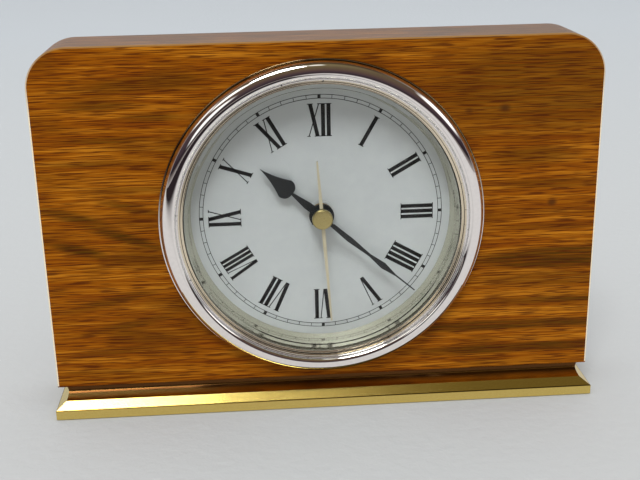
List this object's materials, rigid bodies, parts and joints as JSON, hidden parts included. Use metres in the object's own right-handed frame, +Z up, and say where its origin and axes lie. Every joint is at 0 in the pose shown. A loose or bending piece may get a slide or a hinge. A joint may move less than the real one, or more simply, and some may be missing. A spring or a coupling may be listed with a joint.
{
  "type": "desk clock",
  "caption": "Wooden desk clock: a broad board case on a bevelled brass base, with a round chrome-bezelled dial, spade hands and a battery movement behind.",
  "frame": {"origin": "centre of the base's footprint, on the surface that the clock stands on", "axes": "+Z up, the dial faces -Y, +X to the right as the dial is seen"},
  "size_m": [0.171, 0.035, 0.1157],
  "materials": {
    "oiled_wood": "satin varnish over straight brown grain",
    "polished_brass": "polished, lacquered",
    "gold_cap": "satin gilt",
    "gilt_hand": "pale gilt lacquer",
    "felt": "dark pressed felt",
    "screw_steel": "plain bright steel",
    "chrome": "mirror bright",
    "crystal": "clear, polished",
    "reflector": "satin bright",
    "dial_paint": "satin silver",
    "black_moulding": "black moulded",
    "rubber": "black",
    "movement_housing": "black moulded, lightly textured",
    "knob_plastic": "pale moulded",
    "turned_brass": "turned",
    "hand_black": "semi-matt black",
    "gear_plastic": "natural moulded",
    "arbor_steel": "ground",
    "spring_steel": "bright spring strip",
    "magnet": "ground ferrite",
    "core_iron": "pressed soft iron",
    "bobbin_plastic": "moulded",
    "enamelled_wire": "enamelled copper wire",
    "board": "green lacquered laminate",
    "chip_resin": "moulded resin",
    "can_metal": "drawn, plated",
    "battery_sleeve": "plain printed sleeve"
  },
  "bodies": {
    "clock_body": {"wood_case": "oiled_wood", "brass_base": "polished_brass", "felt_pad": "felt", "base_screws": "screw_steel", "bezel_ring": "chrome", "crystal": "crystal", "reflector_ring": "reflector", "dial_plate": "dial_paint", "dial_collar": "dial_paint", "dial_cup": "black_moulding", "friction_band": "rubber", "movement_front_plate": "movement_housing", "movement_rear_cover": "movement_housing", "movement_screws": "screw_steel", "centre_bushing": "turned_brass", "motion_stud": "arbor_steel", "stator_plate": "core_iron", "coil_core": "core_iron", "coil_bobbin": "bobbin_plastic", "coil_winding": "enamelled_wire", "circuit_board": "board", "drive_chip": "chip_resin", "quartz_can": "can_metal", "contact_plus": "spring_steel", "contact_minus": "spring_steel"},
    "second_train": {"second_arbor": "arbor_steel", "second_wheel": "gear_plastic", "second_hand": "gilt_hand", "second_cap": "gold_cap"},
    "third_train": {"third_wheel": "gear_plastic", "third_pinion": "arbor_steel"},
    "centre_train": {"centre_wheel": "gear_plastic", "clutch_spring": "spring_steel"},
    "minute_train": {"cannon_pinion": "turned_brass", "minute_hand": "hand_black"},
    "motion_train": {"motion_wheel": "gear_plastic"},
    "hour_train": {"hour_wheel": "gear_plastic", "hour_hand": "hand_black"},
    "step_train": {"step_wheel": "gear_plastic", "step_pinion": "arbor_steel"},
    "rotor": {"rotor_magnet": "magnet", "rotor_pinion": "arbor_steel"},
    "setting_train": {"setting_pinion": "knob_plastic", "setting_knob": "knob_plastic"},
    "battery": {"battery_cell": "battery_sleeve"}
  },
  "joints": [
    {"name": "second_spin", "type": "hinge", "parent": "clock_body", "child": "second_train", "pos_m": [0, -0.003, 0.06054], "axis": [0, 1, 0], "continuous": true},
    {"name": "minute_spin", "type": "hinge", "parent": "clock_body", "child": "minute_train", "pos_m": [0, -0.003, 0.06054], "axis": [0, 1, 0], "continuous": true},
    {"name": "hour_spin", "type": "hinge", "parent": "clock_body", "child": "hour_train", "pos_m": [0, -0.003, 0.06054], "axis": [0, 1, 0], "continuous": true},
    {"name": "motion_spin", "type": "hinge", "parent": "clock_body", "child": "motion_train", "pos_m": [0.006, 0.0019, 0.06054], "axis": [0, 1, 0], "continuous": true},
    {"name": "setting_spin", "type": "hinge", "parent": "clock_body", "child": "setting_train", "pos_m": [0.012, 0.007, 0.06054], "axis": [0, 1, 0], "continuous": true},
    {"name": "centre_spin", "type": "hinge", "parent": "clock_body", "child": "centre_train", "pos_m": [0, 0.0036, 0.06054], "axis": [0, 1, 0], "continuous": true},
    {"name": "third_spin", "type": "hinge", "parent": "clock_body", "child": "third_train", "pos_m": [-0.00545, 0.004, 0.06599], "axis": [0, 1, 0], "continuous": true},
    {"name": "step_spin", "type": "hinge", "parent": "clock_body", "child": "step_train", "pos_m": [0.00375, 0.007, 0.06704], "axis": [0, 1, 0], "continuous": true},
    {"name": "rotor_spin", "type": "hinge", "parent": "clock_body", "child": "rotor", "pos_m": [0.01033, 0.008, 0.06943], "axis": [0, 1, 0], "continuous": true},
    {"name": "battery_slide", "type": "slide", "parent": "clock_body", "child": "battery", "axis": [0, 1, 0], "range_m": [0, 0.02]}
  ],
  "couplings": [
    {"joint": "step_spin", "follows": "second_spin", "ratio": -5},
    {"joint": "rotor_spin", "follows": "second_spin", "ratio": 30},
    {"joint": "third_spin", "follows": "second_spin", "ratio": -0.1},
    {"joint": "centre_spin", "follows": "second_spin", "ratio": 0.016667},
    {"joint": "motion_spin", "follows": "minute_spin", "ratio": -0.33333},
    {"joint": "hour_spin", "follows": "minute_spin", "ratio": 0.083333},
    {"joint": "setting_spin", "follows": "minute_spin", "ratio": 1}
  ]
}
